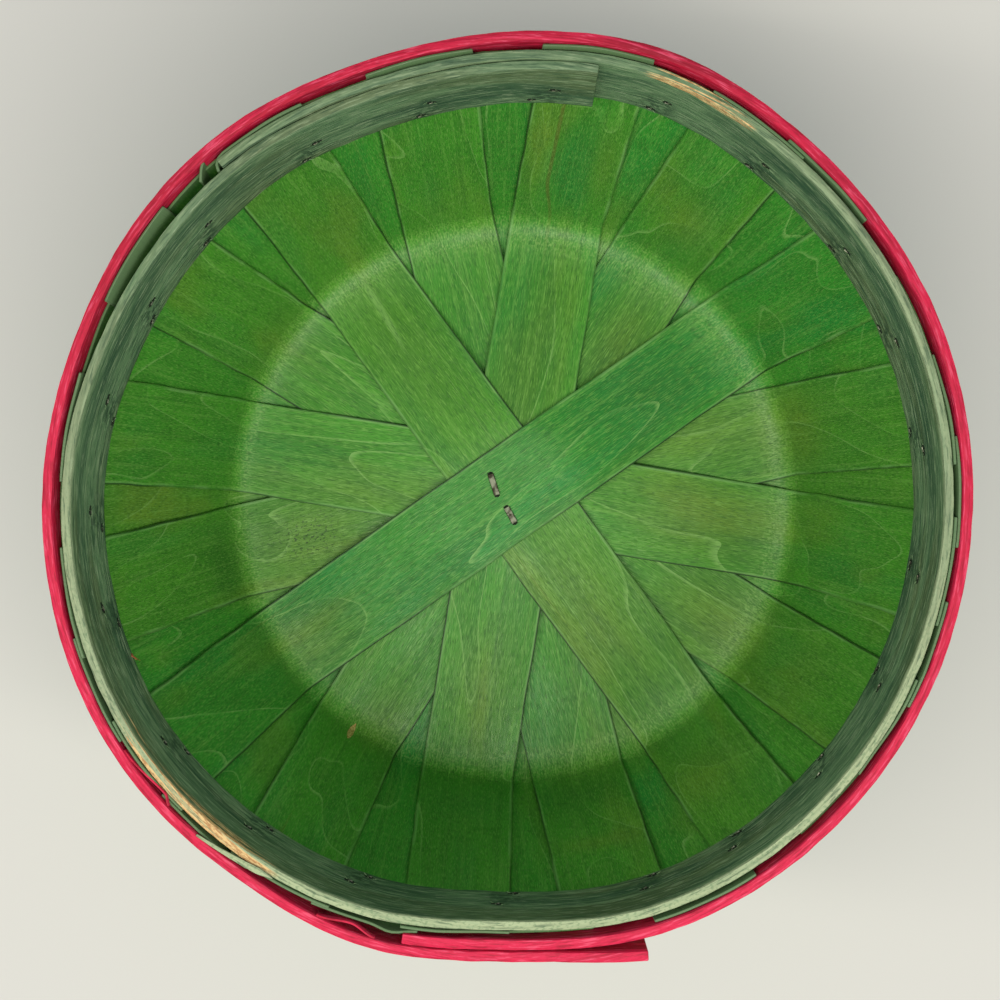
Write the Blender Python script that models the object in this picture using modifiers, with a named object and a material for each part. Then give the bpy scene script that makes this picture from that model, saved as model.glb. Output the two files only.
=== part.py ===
# A round peck basket of wood veneer. Sixteen staves cross on the floor, turn up at a bend and stand as
# the wall. Two lapped hoops, one inside and one outside, clamp their tops, and staples hold it all.
# Metres, +Z up. The origin is on the rim's axis, on the underside of the lowest stave, where the basket stands.
# An azimuth is in degrees, clockwise seen from above, from +Y.

import math

import bmesh
import bpy
from mathutils import Matrix, Vector

# Driving dimensions of the whole basket
HEIGHT = 0.170
RIM_RADIUS = 0.1464
LEAN = math.radians(12.0)
BEND_RADIUS = 0.012

# Staves
STAVE_WIDTH = 0.036
VENEER = 0.0009
LAYER_GAP = 0.00028
STAVE_TOP_BELOW_RIM = 0.0006
STAVE_COLUMNS = 3
FLOOR_STATIONS = (0.0, 0.020, 0.026, 0.032, 0.042, 0.052, 0.056, 0.066, 0.080, 0.091, 0.096)
BEND_ROWS = 6
WALL_ROWS = 4

# How far the floor lies off the rim's centre, where the staves cross from the floor's centre, and how far the
# wall staves lean sideways between floor and rim
FLOOR_SHIFT = Vector((0.0028, -0.0004))
CROSSING = Vector((-0.0006, 0.0024))
WALL_DRIFT = Vector((0.0058, -0.0047))

# The pile of crossing staves is a low cone. Inside PILE_RADIUS all sixteen layers lie on each other. Past
# PAIRED_RADIUS two staves of a group of four share a layer, by SETTLED_RADIUS all four do, and past
# APART_RADIUS the arms of a web no longer touch, so that the wall is two staves thick.
PILE_RADIUS = 0.026
CROSSED_RADIUS = 0.028
PAIRED_RADIUS = 0.054
SETTLED_RADIUS = 0.094
APART_RADIUS = 0.100
WALL_LAYER_RADIUS = 0.116
SLOPE_ROUND = 0.12

# Across a stave its height follows the round form inside STRAIGHT_ROW_RADIUS and its row past ROUND_ROW_RADIUS
STRAIGHT_ROW_RADIUS = 0.022
ROUND_ROW_RADIUS = 0.046

# Azimuth in degrees and sideways offset in millimetres of each stave, from the top layer down
INNER_STAVES = (
    (55.1, 0.0),
    (143.9, -0.2),
    (9.2, 0.3),
    (99.4, -0.4),
    (32.4, -1.4),
    (122.1, -1.2),
    (77.5, -0.2),
    (166.7, 0.4),
)
OUTER_STAVES = (
    (66.2, -0.5),
    (155.4, -0.2),
    (20.8, -0.6),
    (110.8, -0.5),
    (43.8, -1.2),
    (133.0, -0.8),
    (88.5, 0.0),
    (177.9, 0.1),
)
STAVES_IN_GROUP = 4

# Hoops
HOOP_HEIGHT = 0.0286
OUTER_HOOP_THICKNESS = 0.0035
INNER_HOOP_THICKNESS = 0.0031
HOOP_GAP = 0.0003
HOOP_STEP = 4.0
OUTER_HOOP_START = 163.0
OUTER_HOOP_TUCK = (192.0, 218.0)
OUTER_HOOP_END = 193.5 + 360.0
FREE_END_LIFT = 0.0034
FREE_END_LIFT_STOPS = 178.0
INNER_HOOP_START = 319.0
INNER_HOOP_TUCK = (273.0 + 360.0, 314.0 + 360.0)
INNER_HOOP_END = 12.0 + 720.0

# The rim isn't a true circle: azimuth, how far out in millimetres, and half width in degrees of each swell
RIM_SWELLS = (
    (20.0, 2.6, 14.0),
    (181.0, -3.7, 15.0),
    (238.0, 2.1, 26.0),
    (292.0, -1.4, 17.0),
    (341.0, -2.3, 17.0),
)

# Staples: flat wire crowns lying on the wood, with the legs inside it left out
RIM_STAPLE_AZIMUTHS = (
    5, 21, 37, 53, 67, 82, 100, 116, 131, 146, 160, 180, 201, 217, 233, 253, 267, 282, 297, 311, 330, 348,
)
RIM_STAPLE_BELOW_RIM = 0.0210
RIM_STAPLE_SIZE = Vector((0.0105, 0.0014, 0.0006))
RIM_STAPLE_SLANT = math.radians(62.0)
FLOOR_STAPLES = (
    (Vector((-0.0050, 0.0047)), 162.2, 0.0086),
    (Vector((0.0015, -0.0071)), 151.3, 0.0068),
)
FLOOR_STAPLE_WIDTH = 0.0024
FLOOR_STAPLE_THICKNESS = 0.0007
STAPLE_EDGE = 0.0002

PITCH = VENEER + LAYER_GAP
BEND_ANGLE = math.pi / 2 - LEAN
BEND_TOP = BEND_RADIUS * (1 - math.cos(BEND_ANGLE))
FLAT_RADIUS = RIM_RADIUS - (HEIGHT - BEND_TOP) * math.tan(LEAN) - BEND_RADIUS * math.sin(BEND_ANGLE)
BEND_END = FLAT_RADIUS + BEND_RADIUS * BEND_ANGLE
RIM_STATION = BEND_END + (HEIGHT - BEND_TOP) / math.cos(LEAN)


def smooth_step(start, end, value):
    """0 before start, 1 after end, with a smooth rise between."""
    part = min(max((value - start) / (end - start), 0.0), 1.0)
    return part * part * (3 - 2 * part)


def slope(start, end, value):
    """0 before start, 1 after end, with a straight rise between and short rounds at both."""
    part = (value - start) / (end - start)
    if part > 0.5:
        return 1 - slope(end, start, value)
    if part > SLOPE_ROUND:
        return part
    return max(part + SLOPE_ROUND, 0.0) ** 2 / (4 * SLOPE_ROUND)


def direction(azimuth):
    """The level unit vector that points at an azimuth in degrees."""
    angle = math.radians(azimuth)
    return Vector((math.sin(angle), math.cos(angle)))


def section(station, depth):
    """Radius and height of a point of the wall's section, station along it from the axis, depth inwards."""
    if station <= FLAT_RADIUS:
        return station, depth
    if station <= BEND_END:
        turned = (station - FLAT_RADIUS) / BEND_RADIUS
        inner = BEND_RADIUS - depth
        return FLAT_RADIUS + inner * math.sin(turned), BEND_RADIUS - inner * math.cos(turned)
    along = station - BEND_END
    radius, height = section(BEND_END, depth)
    return radius + along * math.sin(LEAN), height + along * math.cos(LEAN)


def wall_share(height):
    """0 on the floor and bend, 1 at the rim."""
    return max((height - BEND_TOP) / (HEIGHT - BEND_TOP), 0.0)


def rim_swell(azimuth):
    """How far the rim stands out of its true circle at an azimuth."""
    total = 0.0
    for middle, outwards, half_width in RIM_SWELLS:
        away = (azimuth - middle + 180) % 360 - 180
        total += outwards / 1000 * math.exp(-((away / half_width) ** 2))
    return total


def out_of_round(level, height):
    """A point of the round form in its uneven place: the rim swells, and the floor lies off the rim's centre."""
    share = wall_share(height)
    if share > 0:
        azimuth = math.degrees(math.atan2(level.x, level.y))
        level = level * (1 + rim_swell(azimuth) * share / level.length)
    level = level + FLOOR_SHIFT * (1 - share)
    return Vector((level.x, level.y, height))


def layers_below(group, place, station):
    """How many layers lie under a stave at this station: all near the middle, fewer further out."""
    layers_in_group = STAVES_IN_GROUP - (STAVES_IN_GROUP - 1) * slope(PILE_RADIUS, SETTLED_RADIUS, station)
    paired_place = place + (place // 2 - place) * slope(CROSSED_RADIUS, PAIRED_RADIUS, station)
    in_group = paired_place * (1 - slope(PAIRED_RADIUS, SETTLED_RADIUS, station))
    wall_layer = group // 2
    apart = smooth_step(APART_RADIUS, WALL_LAYER_RADIUS, station)
    return group * layers_in_group + in_group - (group - wall_layer) * apart


def stave_stations():
    """Stations of a stave's rows, from one top end over the floor to the other, negative on the far arm."""
    bend = [FLAT_RADIUS + (BEND_END - FLAT_RADIUS) * i / BEND_ROWS for i in range(BEND_ROWS + 1)]
    top = RIM_STATION - STAVE_TOP_BELOW_RIM
    wall = [BEND_END + (top - BEND_END) * i / WALL_ROWS for i in range(1, WALL_ROWS + 1)]
    arm = [*FLOOR_STATIONS, *bend, *wall]
    return [-station for station in reversed(arm[1:])] + arm


def stave_point(azimuth, offset, group, place, along, across):
    """A point of the stave's middle surface, from its station along and its distance across."""
    ahead = direction(azimuth)
    right = Vector((ahead.y, -ahead.x))
    station = abs(along)
    share = wall_share(section(station, 0.0)[1])
    sideways = across + offset + right.dot(CROSSING) + right.dot(WALL_DRIFT) * share
    rounding = smooth_step(STRAIGHT_ROW_RADIUS, ROUND_ROW_RADIUS, station)
    station = math.sqrt(station**2 + sideways**2 * (1 - rounding))
    depth = layers_below(group, place, station) * PITCH + VENEER / 2
    radius, height = section(station, depth)
    forwards = math.copysign(math.sqrt(max(radius**2 - sideways**2, 0.0)), along)
    return out_of_round(ahead * forwards + right * sideways, height)


def make_material(name, colour, roughness, metallic=0.0):
    """A plain material with the finish's base colour."""
    material = bpy.data.materials.new(name)
    material.use_nodes = True
    shader = material.node_tree.nodes["Principled BSDF"]
    shader.inputs["Base Color"].default_value = (*colour, 1.0)
    shader.inputs["Roughness"].default_value = roughness
    shader.inputs["Metallic"].default_value = metallic
    material.diffuse_color = (*colour, 1.0)
    return material


def add_object(name, mesh, material, collection):
    """An object of the mesh in the collection, with its material."""
    mesh.materials.append(material)
    thing = bpy.data.objects.new(name, mesh)
    collection.objects.link(thing)
    return thing


def make_sheet(name, rows, columns, place, thickness, material, collection):
    """A strip: a grid of rows and columns whose points place() puts, given an even thickness."""
    grid = bmesh.new()
    across, along = len(columns) - 1, len(rows) - 1
    bmesh.ops.create_grid(grid, x_segments=across, y_segments=along, size=1.0)
    for vertex in grid.verts:
        column = round((vertex.co.x + 1) / 2 * across)
        row = round((vertex.co.y + 1) / 2 * along)
        vertex.co = place(rows[row], columns[column])
    mesh = bpy.data.meshes.new(name)
    grid.to_mesh(mesh)
    grid.free()
    strip = add_object(name, mesh, material, collection)
    solidify = strip.modifiers.new("thickness", "SOLIDIFY")
    solidify.thickness = thickness
    solidify.offset = 0.0
    solidify.use_even_offset = True
    return strip


def make_stave(name, azimuth, offset, layer, material, collection):
    """One stave, which runs down one wall, over the floor and up the other wall."""
    group, place = divmod(layer, STAVES_IN_GROUP)
    columns = [STAVE_WIDTH * (i / STAVE_COLUMNS - 0.5) for i in range(STAVE_COLUMNS + 1)]

    def place_point(along, across):
        return stave_point(azimuth, offset / 1000, group, place, along, across)

    return make_sheet(name, stave_stations(), columns, place_point, VENEER, material, collection)


def make_web(name, staves, lowest_layer, material, collection):
    """A web of crossing staves, listed from its top layer down."""
    for number, (azimuth, offset) in enumerate(staves, start=1):
        layer = lowest_layer + len(staves) - number
        make_stave(f"{name}_{number}", azimuth, offset, layer, material, collection)


def outer_hoop_depth(azimuth):
    """Depth of the outer hoop's middle surface inwards from the staves' outer face, so below 0."""
    depth = -HOOP_GAP - OUTER_HOOP_THICKNESS / 2
    lapped = 1 - smooth_step(*OUTER_HOOP_TUCK, azimuth)
    lift = max(FREE_END_LIFT_STOPS - azimuth, 0.0) / (FREE_END_LIFT_STOPS - OUTER_HOOP_START)
    return depth - lapped * (OUTER_HOOP_THICKNESS + HOOP_GAP) - FREE_END_LIFT * lift**2


def inner_hoop_depth(azimuth):
    """Depth of the inner hoop's middle surface inwards from the staves' outer face."""
    depth = PITCH + VENEER + HOOP_GAP + INNER_HOOP_THICKNESS / 2
    tucked = smooth_step(*INNER_HOOP_TUCK, azimuth)
    return depth + tucked * (INNER_HOOP_THICKNESS + HOOP_GAP)


def hoop_point(depth, azimuth, down):
    """A point on a hoop, down from its level top along the leaning wall, at a depth from the staves' outer face."""
    radius, height = section(RIM_STATION - down - depth * math.tan(LEAN), depth)
    return out_of_round(direction(azimuth) * radius, height)


def make_hoop(name, start, end, depth_at, thickness, material, collection):
    """A flat strip bent round the rim, with its ends lapped."""
    steps = round((end - start) / HOOP_STEP)
    rows = [start + (end - start) * i / steps for i in range(steps + 1)]
    columns = [HOOP_HEIGHT / math.cos(LEAN), 0.0]

    def place_point(azimuth, down):
        return hoop_point(depth_at(azimuth), azimuth, down)

    return make_sheet(name, rows, columns, place_point, thickness, material, collection)


def make_staple(name, size, placing, material, collection):
    """A staple's crown: a short flat bar with softened edges, lying in the XY plane of its placing."""
    bar = bmesh.new()
    bmesh.ops.create_cube(bar, size=1.0, matrix=placing @ Matrix.Diagonal((*size, 1.0)))
    mesh = bpy.data.meshes.new(name)
    bar.to_mesh(mesh)
    bar.free()
    crown = add_object(name, mesh, material, collection)
    bevel = crown.modifiers.new("soft edges", "BEVEL")
    bevel.width = STAPLE_EDGE
    bevel.segments = 1
    return crown


def outer_face_point(azimuth, down, height_off):
    """A point height_off clear of the outer hoop's outside, following its lap."""
    depth = outer_hoop_depth(azimuth) - OUTER_HOOP_THICKNESS / 2 - height_off
    return hoop_point(depth, azimuth, down)


def make_rim_staples(material, collection):
    """The crowns on the outside of the outer hoop, each slanted across it."""
    height_off = HOOP_GAP + RIM_STAPLE_SIZE.z / 2
    slant = Matrix.Rotation(math.pi - RIM_STAPLE_SLANT, 4, "Z")
    for number, azimuth in enumerate(RIM_STAPLE_AZIMUTHS, start=1):
        on_strip = azimuth if azimuth >= OUTER_HOOP_START else azimuth + 360
        middle = outer_face_point(on_strip, RIM_STAPLE_BELOW_RIM, height_off)
        up_the_wall = (outer_face_point(on_strip, 0.0, height_off) - middle).normalized()
        further_round = outer_face_point(on_strip + 1, RIM_STAPLE_BELOW_RIM, height_off) - middle
        outwards = up_the_wall.cross(further_round).normalized()
        turn = Matrix((up_the_wall.cross(outwards), up_the_wall, outwards)).transposed().to_4x4()
        placing = Matrix.Translation(middle) @ turn @ slant
        make_staple(f"rim_staple_{number:02d}", RIM_STAPLE_SIZE, placing, material, collection)


def make_floor_staples(material, collection):
    """The two crowns in the middle of the top stave."""
    layers = len(INNER_STAVES) + len(OUTER_STAVES)
    height = (layers - 1) * PITCH + VENEER + HOOP_GAP + FLOOR_STAPLE_THICKNESS / 2
    for number, (middle, azimuth, length) in enumerate(FLOOR_STAPLES, start=1):
        turn = Matrix.Rotation(math.radians(90 - azimuth), 4, "Z")
        placing = Matrix.Translation((middle.x, middle.y, height)) @ turn
        size = Vector((length, FLOOR_STAPLE_WIDTH, FLOOR_STAPLE_THICKNESS))
        make_staple(f"floor_staple_{number}", size, placing, material, collection)


def main():
    for thing in list(bpy.data.objects):
        bpy.data.objects.remove(thing, do_unlink=True)
    basket = bpy.data.collections.new("splint_basket")
    bpy.context.scene.collection.children.link(basket)
    green_veneer = make_material("green_veneer", (0.09, 0.23, 0.04), 0.55)
    green_hoop = make_material("green_hoop", (0.13, 0.20, 0.10), 0.7)
    red_hoop = make_material("red_hoop", (0.60, 0.015, 0.07), 0.5)
    staple_wire = make_material("staple_wire", (0.20, 0.17, 0.14), 0.5, metallic=0.9)
    make_web("outer_stave", OUTER_STAVES, 0, green_veneer, basket)
    make_web("inner_stave", INNER_STAVES, len(OUTER_STAVES), green_veneer, basket)
    make_hoop(
        "inner_hoop", INNER_HOOP_START, INNER_HOOP_END, inner_hoop_depth,
        INNER_HOOP_THICKNESS, green_hoop, basket,
    )
    make_hoop(
        "outer_hoop", OUTER_HOOP_START, OUTER_HOOP_END, outer_hoop_depth,
        OUTER_HOOP_THICKNESS, red_hoop, basket,
    )
    make_rim_staples(staple_wire, basket)
    make_floor_staples(staple_wire, basket)


main()
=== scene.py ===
# %% [markdown]
# # Dressing a round splint basket
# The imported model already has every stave, hoop and staple at its real size and place, but each is a plain,
# coarse solid. This lesson makes each one again with a finer surface and rough, uneven edges, and then
# gives it the finish of stained wood or dull wire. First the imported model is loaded. Nothing in it is
# moved: it is the ruler for all that follows.

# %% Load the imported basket
import math

import bpy
from mathutils import Matrix, Vector, noise


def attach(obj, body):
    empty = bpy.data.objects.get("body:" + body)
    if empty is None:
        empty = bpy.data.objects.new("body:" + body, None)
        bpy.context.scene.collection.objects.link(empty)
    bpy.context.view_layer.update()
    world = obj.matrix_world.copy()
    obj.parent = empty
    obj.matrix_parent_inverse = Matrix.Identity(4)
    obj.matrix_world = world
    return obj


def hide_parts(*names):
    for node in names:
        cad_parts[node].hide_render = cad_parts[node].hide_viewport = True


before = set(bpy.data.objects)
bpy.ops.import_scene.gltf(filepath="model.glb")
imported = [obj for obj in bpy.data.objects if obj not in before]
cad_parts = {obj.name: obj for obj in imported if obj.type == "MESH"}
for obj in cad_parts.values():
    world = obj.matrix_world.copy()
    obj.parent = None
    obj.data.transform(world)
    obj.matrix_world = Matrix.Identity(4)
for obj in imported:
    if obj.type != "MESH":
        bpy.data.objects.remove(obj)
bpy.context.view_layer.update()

print("nodes in the packed basket:", len(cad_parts))

# %% [markdown]
# ## Sizes
# A peck basket is made from a few sizes, and the rest follows from them: how high it is, how wide at the
# rim, how far its wall leans and how tightly the veneer turns up from the floor. They are the same values
# that the solids have, in metres. An azimuth is in degrees, clockwise seen from above, from +Y.

# %% Sizes of the whole basket
HEIGHT = 0.170
RIM_RADIUS = 0.1464
LEAN = math.radians(12.0)
BEND_RADIUS = 0.012
BEND_ANGLE = math.pi / 2 - LEAN
BEND_TOP = BEND_RADIUS * (1 - math.cos(BEND_ANGLE))
FLAT_RADIUS = RIM_RADIUS - (HEIGHT - BEND_TOP) * math.tan(LEAN) - BEND_RADIUS * math.sin(BEND_ANGLE)
BEND_END = FLAT_RADIUS + BEND_RADIUS * BEND_ANGLE
RIM_STATION = BEND_END + (HEIGHT - BEND_TOP) / math.cos(LEAN)
print("along a stave from the middle to its top, mm:", round(RIM_STATION * 1000, 1))

# %% Sizes of the staves
STAVE_WIDTH = 0.036
VENEER = 0.0009
PITCH = VENEER + 0.00028
STAVES_IN_GROUP = 4
FLOOR_SHIFT = Vector((0.0028, -0.0004))
CROSSING = Vector((-0.0006, 0.0024))
WALL_DRIFT = Vector((0.0058, -0.0047))
PILE_RADIUS = 0.026
CROSSED_RADIUS = 0.028
PAIRED_RADIUS = 0.054
SETTLED_RADIUS = 0.094
APART_RADIUS = 0.100
WALL_LAYER_RADIUS = 0.116
SLOPE_ROUND = 0.12
STRAIGHT_ROW_RADIUS = 0.022
ROUND_ROW_RADIUS = 0.046
print("air between two layers, mm:", round((PITCH - VENEER) * 1000, 2))

# %% Sizes of the hoops
HOOP_WIDTH = 0.0286 / math.cos(LEAN)
OUTER_HOOP_THICKNESS = 0.0035
INNER_HOOP_THICKNESS = 0.0031
HOOP_GAP = 0.0003
OUTER_HOOP_START = 163.0
OUTER_HOOP_TUCK = (192.0, 218.0)
OUTER_HOOP_END = 553.5
FREE_END_LIFT = 0.0034
FREE_END_LIFT_STOPS = 178.0
INNER_HOOP_START = 319.0
INNER_HOOP_TUCK = (633.0, 674.0)
INNER_HOOP_END = 732.0
RIM_SWELLS = (
    (20.0, 2.6, 14.0), (181.0, -3.7, 15.0), (238.0, 2.1, 26.0), (292.0, -1.4, 17.0), (341.0, -2.3, 17.0),
)
print("height of a hoop, mm:", round(HOOP_WIDTH * math.cos(LEAN) * 1000, 1))

# %% [markdown]
# ## The form that the wood is pressed to
# A basket maker presses soaked veneer over a form. The form here is a set of small functions. section()
# gives the wall's profile: flat floor, round bend, leaning wall. out_of_round() makes the rim uneven, as
# the hoops pull it. Near the middle the sixteen layers pile up into a low cone, and each stave drapes over
# those below it. Bending by a formula was chosen because Blender's own bend tool needs an open window, and
# because sixteen layers have to lie on each other without touching.

# %% The form's section and its uneven rim
def smooth_step(start, end, value):
    """0 before start, 1 after end, with a smooth rise between."""
    part = min(max((value - start) / (end - start), 0.0), 1.0)
    return part * part * (3 - 2 * part)


def slope(start, end, value):
    """0 before start, 1 after end, with a straight rise between and short rounds at both."""
    part = (value - start) / (end - start)
    if part > 0.5:
        return 1 - slope(end, start, value)
    if part > SLOPE_ROUND:
        return part
    return max(part + SLOPE_ROUND, 0.0) ** 2 / (4 * SLOPE_ROUND)


def hump(away, steepness=2):
    """1 where away is 0, and less to both sides."""
    return math.exp(-(abs(away) ** steepness))


def chance_at(x, y, z):
    """A value of about -1 to 1 that changes smoothly from place to place."""
    return noise.noise(Vector((x, y, z)))


def direction(azimuth):
    """The level unit vector that points at an azimuth in degrees."""
    angle = math.radians(azimuth)
    return Vector((math.sin(angle), math.cos(angle)))


def azimuth_of(point):
    """The azimuth in which a point lies, in degrees."""
    return math.degrees(math.atan2(point.x, point.y))


def degrees_apart(first, second):
    """The smaller angle between two azimuths."""
    return abs((first - second + 180) % 360 - 180)


def axes_of(azimuth):
    """The level directions along and to the right of a stave that points at an azimuth."""
    ahead = direction(azimuth)
    return ahead, Vector((ahead.y, -ahead.x))


def section(station, depth):
    """Radius and height of a point of the wall's section, station along it from the axis, depth inwards."""
    if station <= FLAT_RADIUS:
        return station, depth
    if station <= BEND_END:
        turned = (station - FLAT_RADIUS) / BEND_RADIUS
        inner = BEND_RADIUS - depth
        return FLAT_RADIUS + inner * math.sin(turned), BEND_RADIUS - inner * math.cos(turned)
    radius, height = section(BEND_END, depth)
    along = station - BEND_END
    return radius + along * math.sin(LEAN), height + along * math.cos(LEAN)


def wall_share(height):
    """0 on the floor and bend, 1 at the rim."""
    return max((height - BEND_TOP) / (HEIGHT - BEND_TOP), 0.0)


def out_of_round(level, height):
    """A point of the round form in its uneven place: the rim swells, and the floor lies off centre."""
    share = wall_share(height)
    if share > 0:
        rim_swell = 0.0
        for middle, outwards, half_width in RIM_SWELLS:
            rim_swell += outwards / 1000 * hump(degrees_apart(azimuth_of(level), middle) / half_width)
        level = level * (1 + rim_swell * share / level.length)
    level = level + FLOOR_SHIFT * (1 - share)
    return Vector((level.x, level.y, height))


print("floor's flat radius, mm:", round(FLAT_RADIUS * 1000, 1))

# %% Where a point of a stave lies on the form
def layers_below(group, place, station):
    """How many layers lie under a stave at this station: all near the middle, fewer further out."""
    layers_in_group = STAVES_IN_GROUP - (STAVES_IN_GROUP - 1) * slope(PILE_RADIUS, SETTLED_RADIUS, station)
    paired_place = place + (place // 2 - place) * slope(CROSSED_RADIUS, PAIRED_RADIUS, station)
    in_group = paired_place * (1 - slope(PAIRED_RADIUS, SETTLED_RADIUS, station))
    wall_layer = group // 2
    apart = smooth_step(APART_RADIUS, WALL_LAYER_RADIUS, station)
    return group * layers_in_group + in_group - (group - wall_layer) * apart


def stave_point(azimuth, offset, layer, along, across, lift=0.0):
    """A point of a stave's middle surface, from its place along and across the flat strip, and its lift."""
    ahead, right = axes_of(azimuth)
    station = abs(along)
    share = wall_share(section(station, 0.0)[1])
    sideways = across + offset + right.dot(CROSSING) + right.dot(WALL_DRIFT) * share
    rounding = smooth_step(STRAIGHT_ROW_RADIUS, ROUND_ROW_RADIUS, station)
    station = math.sqrt(station**2 + sideways**2 * (1 - rounding))
    group, place = divmod(layer, STAVES_IN_GROUP)
    depth = layers_below(group, place, station) * PITCH + VENEER / 2 + lift
    radius, height = section(station, depth)
    forwards = math.copysign(math.sqrt(max(radius**2 - sideways**2, 0.0)), along)
    return out_of_round(ahead * forwards + right * sideways, height)

# %% [markdown]
# ## Colours and a few helpers for materials
# Stained wood is built from layers, just as the real finish is: the dye's own colour, lighter and darker
# patches where the wood drank more or less of it, the lines of the growth rings, and last the pores. Each
# is a noise texture stretched along the grain, so a few short helpers save a lot of repeating. Colours are
# read as they look on a screen, 0 to 255, and turned into Blender's linear values.

# %% Helpers for node materials
def tone(red, green, blue):
    """A linear colour from the values that a screen shows."""
    def linear(value):
        value /= 255
        return value / 12.92 if value <= 0.04045 else ((value + 0.055) / 1.055) ** 2.4
    return linear(red), linear(green), linear(blue), 1.0


def new_material(name, roughness, metallic=0.0, gloss=0.30):
    """A material with its Principled shader, which gives a dull shine as dry wood has."""
    material = bpy.data.materials.new(name)
    material.use_nodes = True
    shader = material.node_tree.nodes["Principled BSDF"]
    shader.inputs["Roughness"].default_value = roughness
    shader.inputs["Specular IOR Level"].default_value = gloss
    shader.inputs["Metallic"].default_value = metallic
    return material, shader


def wire(tree, kind, values, output=0, **settings):
    """A node. values are for its named or numbered inputs: a socket is linked, a constant is set."""
    made = tree.nodes.new("ShaderNode" + kind)
    for setting, choice in settings.items():
        setattr(made, setting, choice)
    for key, value in values.items():
        if isinstance(value, bpy.types.NodeSocket):
            tree.links.new(value, made.inputs[key])
        else:
            made.inputs[key].default_value = value
    return made.outputs[output]


def grain_place(tree):
    """The piece's own flat layout in metres: X runs along the wood's grain and Y across it."""
    return wire(tree, "UVMap", {}, uv_map="grain")


def painted(tree, name):
    """The value of one of the attributes that are painted on the piece's own points."""
    return wire(tree, "Attribute", {}, output=2, attribute_name=name)


def noise_through(tree, features):
    """Soft noise all through the piece, so many features a metre, from its own Object coordinates."""
    place = wire(tree, "TexCoord", {}, output=3)
    return wire(tree, "TexNoise", {"Vector": place, "Scale": features, "Detail": 3.0})


def noise_at(place, along, across, start=(0.0, 0.0), detail=2.0, roughness=0.5, distortion=0.0):
    """Soft noise, 0 to 1, with so many features a metre along and across the grain."""
    scaling = {"Vector": place, "Location": (*start, 0.0), "Scale": (along, across, 1.0)}
    scaled = wire(place.id_data, "Mapping", scaling)
    values = {"Vector": scaled, "Scale": 1.0, "Detail": detail, "Roughness": roughness}
    values["Distortion"] = distortion
    return wire(place.id_data, "TexNoise", values, noise_dimensions="2D")


def spread(value, low, high, least=0.0, most=1.0):
    """A value between low and high, drawn out smoothly to the range from least to most."""
    values = {0: value, 1: low, 2: high, 3: least, 4: most}
    return wire(value.id_data, "MapRange", values, interpolation_type="SMOOTHSTEP")


def calculate(operation, first, second=0.0):
    """The result of one sum."""
    return wire(first.id_data, "Math", {0: first, 1: second}, operation=operation)


def times(first, second):
    """Two values multiplied."""
    return calculate("MULTIPLY", first, second)


def blend(factor, first, second):
    """Two colours mixed by a factor."""
    return wire(factor.id_data, "Mix", {"Factor": factor, 6: first, 7: second}, output=2, data_type="RGBA")


def glaze(colour, tint, value, low, high, strength=1.0):
    """The colour under a tint, which grows to its strength as the value rises from low to high."""
    return blend(spread(value, low, high, 0.0, strength), colour, tint)


def feed(shader, name, value):
    """The shader's input of that name, linked to a value."""
    shader.id_data.links.new(value, shader.inputs[name])


def feed_relief(shader, height, strength, distance):
    """A bump of that height, at most so many metres high."""
    values = {"Height": height, "Strength": strength, "Distance": distance}
    feed(shader, "Normal", wire(shader.id_data, "Bump", values))

# %% [markdown]
# ## Stained veneer
# The staves are rotary-cut veneer, peeled from a log, so the growth rings are cut almost along their
# surface and show as slow, wavy contour lines, like those on a map. Rings are made here as one slow noise
# cut into steps, each step darkening up to its line. The dye went on unevenly: emerald where it pooled,
# olive where the wood stayed drier, and both in bands along the grain. Some of those places are painted on
# the staves later, as attributes. The pores are many short, fine, dark lines along the grain. They also
# break up the wood's dull shine, so they go into the roughness and the bump as well. Each long edge is
# painted dark. Part of that is the dye that the cut edge drank, and part is painted shade, the shade that
# gathers where one stave lies on another. A thin, pale line runs beside it. Round the bend the veneer is
# painted paler, partly as cracked fibres and partly as a painted highlight.

# %% Colours of the veneer
VENEER_GREEN = tone(60, 154, 34)
VENEER_EMERALD = tone(26, 140, 50)
VENEER_OLIVE = tone(104, 146, 42)
VENEER_DEEP = tone(34, 98, 24)
RING_LINE = tone(150, 200, 112)
PORE_DARK = tone(26, 84, 20)
FIBRE_LIGHT = tone(150, 210, 98)
# Paler at the bend: cracked fibres, and a painted highlight as well.
CRACK_PALE_AND_HIGHLIGHT = tone(170, 214, 118)
EDGE_PALE = tone(126, 184, 100)
# Dye on the cut edges and painted shade along them. The specks use it too.
DARK_DYE_AND_SHADE = tone(10, 48, 10)
WEATHERED_GREEN = tone(86, 112, 78)
BROWN_STREAK = tone(112, 84, 34)
VEIN_BROWN = tone(98, 94, 38)


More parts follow.
